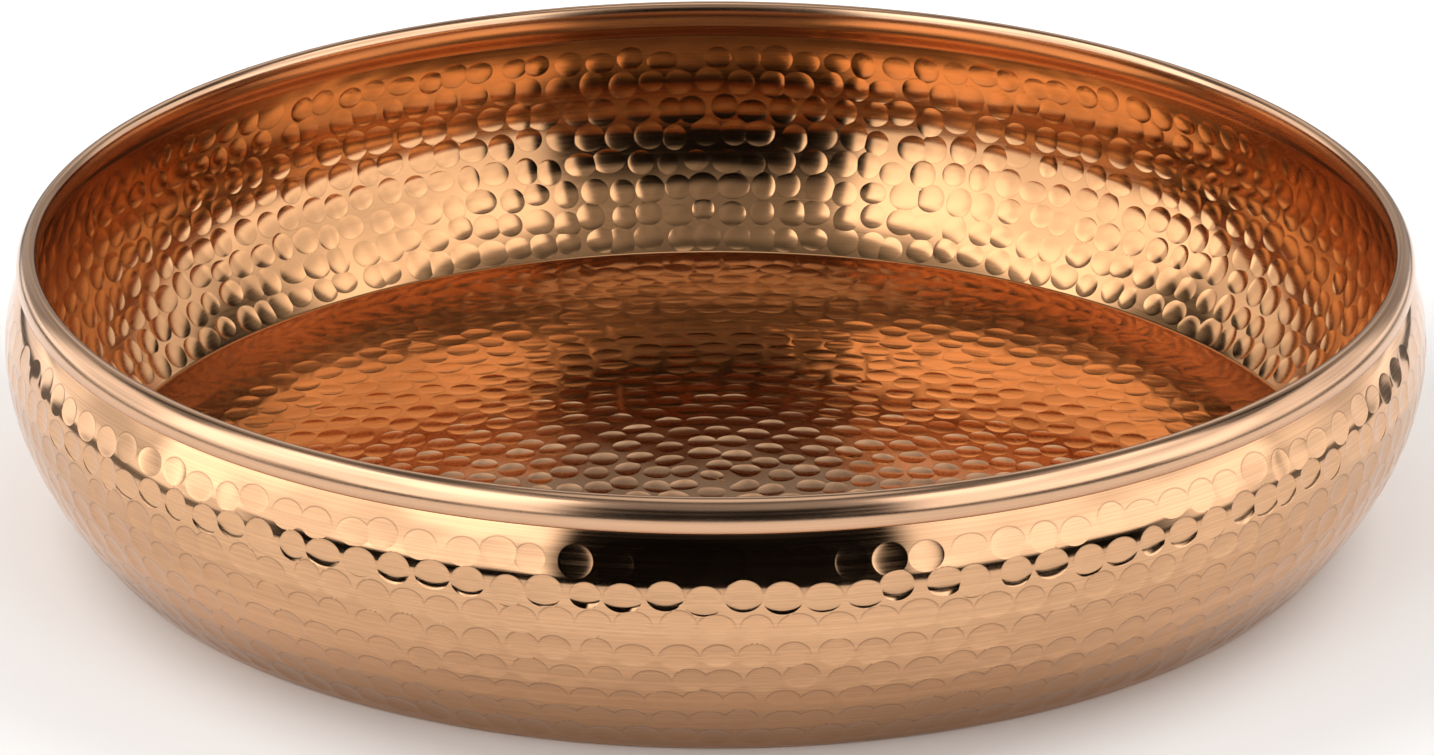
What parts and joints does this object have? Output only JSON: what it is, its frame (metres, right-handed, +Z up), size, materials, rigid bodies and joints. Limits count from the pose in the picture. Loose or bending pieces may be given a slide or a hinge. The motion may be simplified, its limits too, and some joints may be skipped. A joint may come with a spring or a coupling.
{
  "type": "hammered copper basin tray",
  "caption": "Wide round hammered copper tray with a flat floor, a bellied wall that turns in at the top and a rolled, wired rim.",
  "frame": {"origin": "centre of the flat underside, on the surface the tray stands on", "axes": "+Z up along the tray's axis of revolution; +Y is the back, where the rim wire's butt gap is"},
  "size_m": [0.3568, 0.3568, 0.0696],
  "materials": {
    "copper": "polished, hammered, lightly brushed on the rim",
    "steel_wire": "plain drawn wire"
  },
  "bodies": {
    "root": {"pan": "copper", "rim_wire": "steel_wire"}
  },
  "joints": []
}
